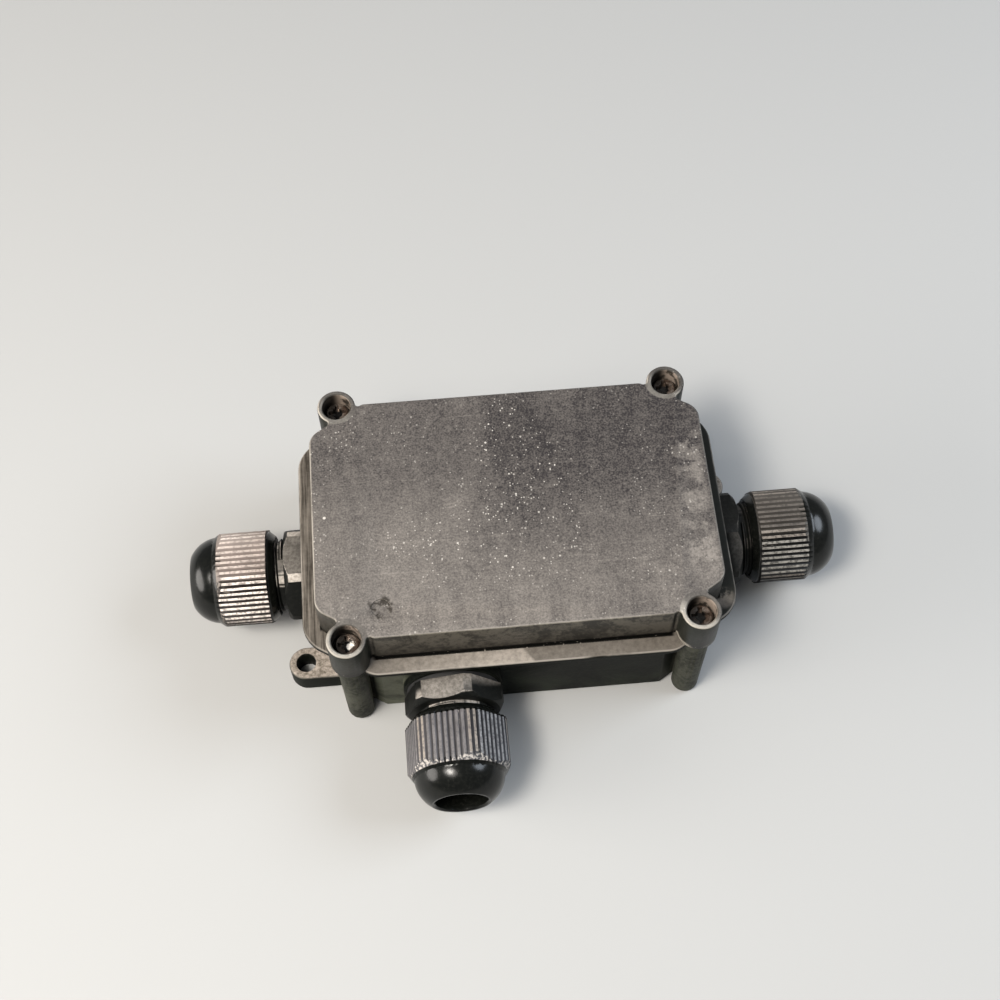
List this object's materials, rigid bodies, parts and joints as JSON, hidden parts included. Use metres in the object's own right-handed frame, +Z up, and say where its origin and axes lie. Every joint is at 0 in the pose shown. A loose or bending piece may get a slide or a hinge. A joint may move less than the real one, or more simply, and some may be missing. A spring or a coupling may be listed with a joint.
{
  "type": "waterproof junction box",
  "caption": "Black plastic waterproof junction box with a screwed lid, fixing ears and domed cable glands on both ends and one long side.",
  "frame": {"origin": "centre of the base's underside, midway between the four screw columns", "axes": "+X along the box through its two end glands, -Y out of the third gland, +Z up through the lid"},
  "size_m": [0.1615, 0.0991, 0.0436],
  "materials": {
    "housing": "dusty matt black moulding",
    "gland": "black nylon, glossy on the dome",
    "rubber": "soft black rubber",
    "screw_steel": "dulled zinc plate",
    "brass": "plain turned brass",
    "terminal": "off-white moulding"
  },
  "bodies": {
    "housing": {"base": "housing", "lid_gasket": "rubber", "gland_body_left": "gland", "washer_left": "rubber", "lock_nut_left": "gland", "gland_body_right": "gland", "washer_right": "rubber", "lock_nut_right": "gland", "gland_body_front": "gland", "washer_front": "rubber", "lock_nut_front": "gland", "terminal_block": "terminal", "terminal_clamps": "brass", "terminal_screws": "screw_steel", "block_screws": "screw_steel"},
    "cover": {"lid": "housing", "cover_screws": "screw_steel"},
    "left_bush": {"seal_left": "rubber"},
    "left_nut": {"cap_nut_left": "gland"},
    "right_bush": {"seal_right": "rubber"},
    "right_nut": {"cap_nut_right": "gland"},
    "front_bush": {"seal_front": "rubber"},
    "front_nut": {"cap_nut_front": "gland"}
  },
  "joints": [
    {"name": "lid_lift", "type": "slide", "parent": "housing", "child": "cover", "axis": [0, 0, 1], "range_m": [0, 0.06]},
    {"name": "left_nut_turn", "type": "hinge", "parent": "housing", "child": "left_bush", "pos_m": [-0.0657, 0, 0.0154], "axis": [-1, 0, 0], "range_deg": [-450, 1260]},
    {"name": "left_nut_travel", "type": "slide", "parent": "left_bush", "child": "left_nut", "axis": [-1, 0, 0], "range_m": [-0.00178, 0.00495]},
    {"name": "right_nut_turn", "type": "hinge", "parent": "housing", "child": "right_bush", "pos_m": [0.0657, 0, 0.0154], "axis": [1, 0, 0], "range_deg": [-540, 1170]},
    {"name": "right_nut_travel", "type": "slide", "parent": "right_bush", "child": "right_nut", "axis": [1, 0, 0], "range_m": [-0.00213, 0.0046]},
    {"name": "front_nut_turn", "type": "hinge", "parent": "housing", "child": "front_bush", "pos_m": [-0.0176, -0.0493, 0.0154], "axis": [0, -1, 0], "range_deg": [-180, 1530]},
    {"name": "front_nut_travel", "type": "slide", "parent": "front_bush", "child": "front_nut", "axis": [0, -1, 0], "range_m": [-0.00072, 0.00601]}
  ],
  "couplings": [
    {"joint": "left_nut_travel", "follows": "left_nut_turn", "m_per_rad": 0.00022441},
    {"joint": "right_nut_travel", "follows": "right_nut_turn", "m_per_rad": 0.00022441},
    {"joint": "front_nut_travel", "follows": "front_nut_turn", "m_per_rad": 0.00022441}
  ]
}
